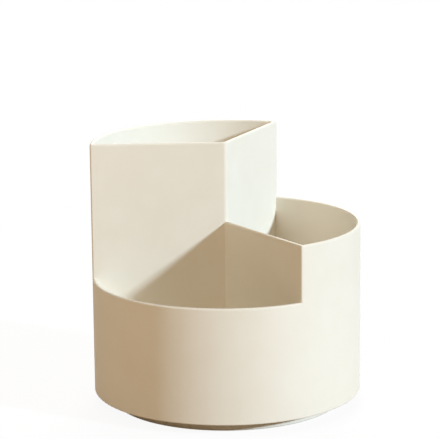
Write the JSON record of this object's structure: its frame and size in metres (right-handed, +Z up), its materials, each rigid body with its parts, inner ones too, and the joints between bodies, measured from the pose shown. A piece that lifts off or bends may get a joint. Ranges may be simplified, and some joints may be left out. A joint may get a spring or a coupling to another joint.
{
  "type": "rotating makeup organizer",
  "caption": "Round moulded make-up organizer: open compartments at stepped heights round a central partition, turning freely on a low ball-bearing base with anti-slip pads.",
  "frame": {"origin": "on the table under the middle of the object, on the axis that the cup turns about", "axes": "+Z up along the turning axis; the picture looks along +Y with +X to the right"},
  "size_m": [0.13, 0.13, 0.1275],
  "materials": {
    "cream_plastic": "satin cream-white moulded plastic",
    "acetal": "plain natural acetal",
    "plated_steel": "zinc-plated steel",
    "bearing_steel": "polished bearing steel",
    "pad_rubber": "soft grey anti-slip rubber"
  },
  "bodies": {
    "base": {"turntable_base": "cream_plastic", "pivot_bushing": "acetal", "hub_cap": "cream_plastic", "foot_pad_1": "pad_rubber", "foot_pad_2": "pad_rubber", "foot_pad_3": "pad_rubber", "foot_pad_4": "pad_rubber"},
    "cup": {"organizer_cup": "cream_plastic", "pivot_washer": "plated_steel", "pivot_screw": "plated_steel"},
    "cage": {"ball_cage": "acetal", "ball_01": "bearing_steel", "ball_02": "bearing_steel", "ball_03": "bearing_steel", "ball_04": "bearing_steel", "ball_05": "bearing_steel", "ball_06": "bearing_steel", "ball_07": "bearing_steel", "ball_08": "bearing_steel", "ball_09": "bearing_steel", "ball_10": "bearing_steel", "ball_11": "bearing_steel", "ball_12": "bearing_steel"}
  },
  "joints": [
    {"name": "cup_spin", "type": "hinge", "parent": "base", "child": "cup", "pos_m": [0, 0, 0.008], "axis": [0, 0, 1], "continuous": true},
    {"name": "cage_orbit", "type": "hinge", "parent": "base", "child": "cage", "pos_m": [0, 0, 0.008], "axis": [0, 0, 1], "continuous": true}
  ],
  "couplings": [
    {"joint": "cage_orbit", "follows": "cup_spin", "ratio": 0.5}
  ]
}
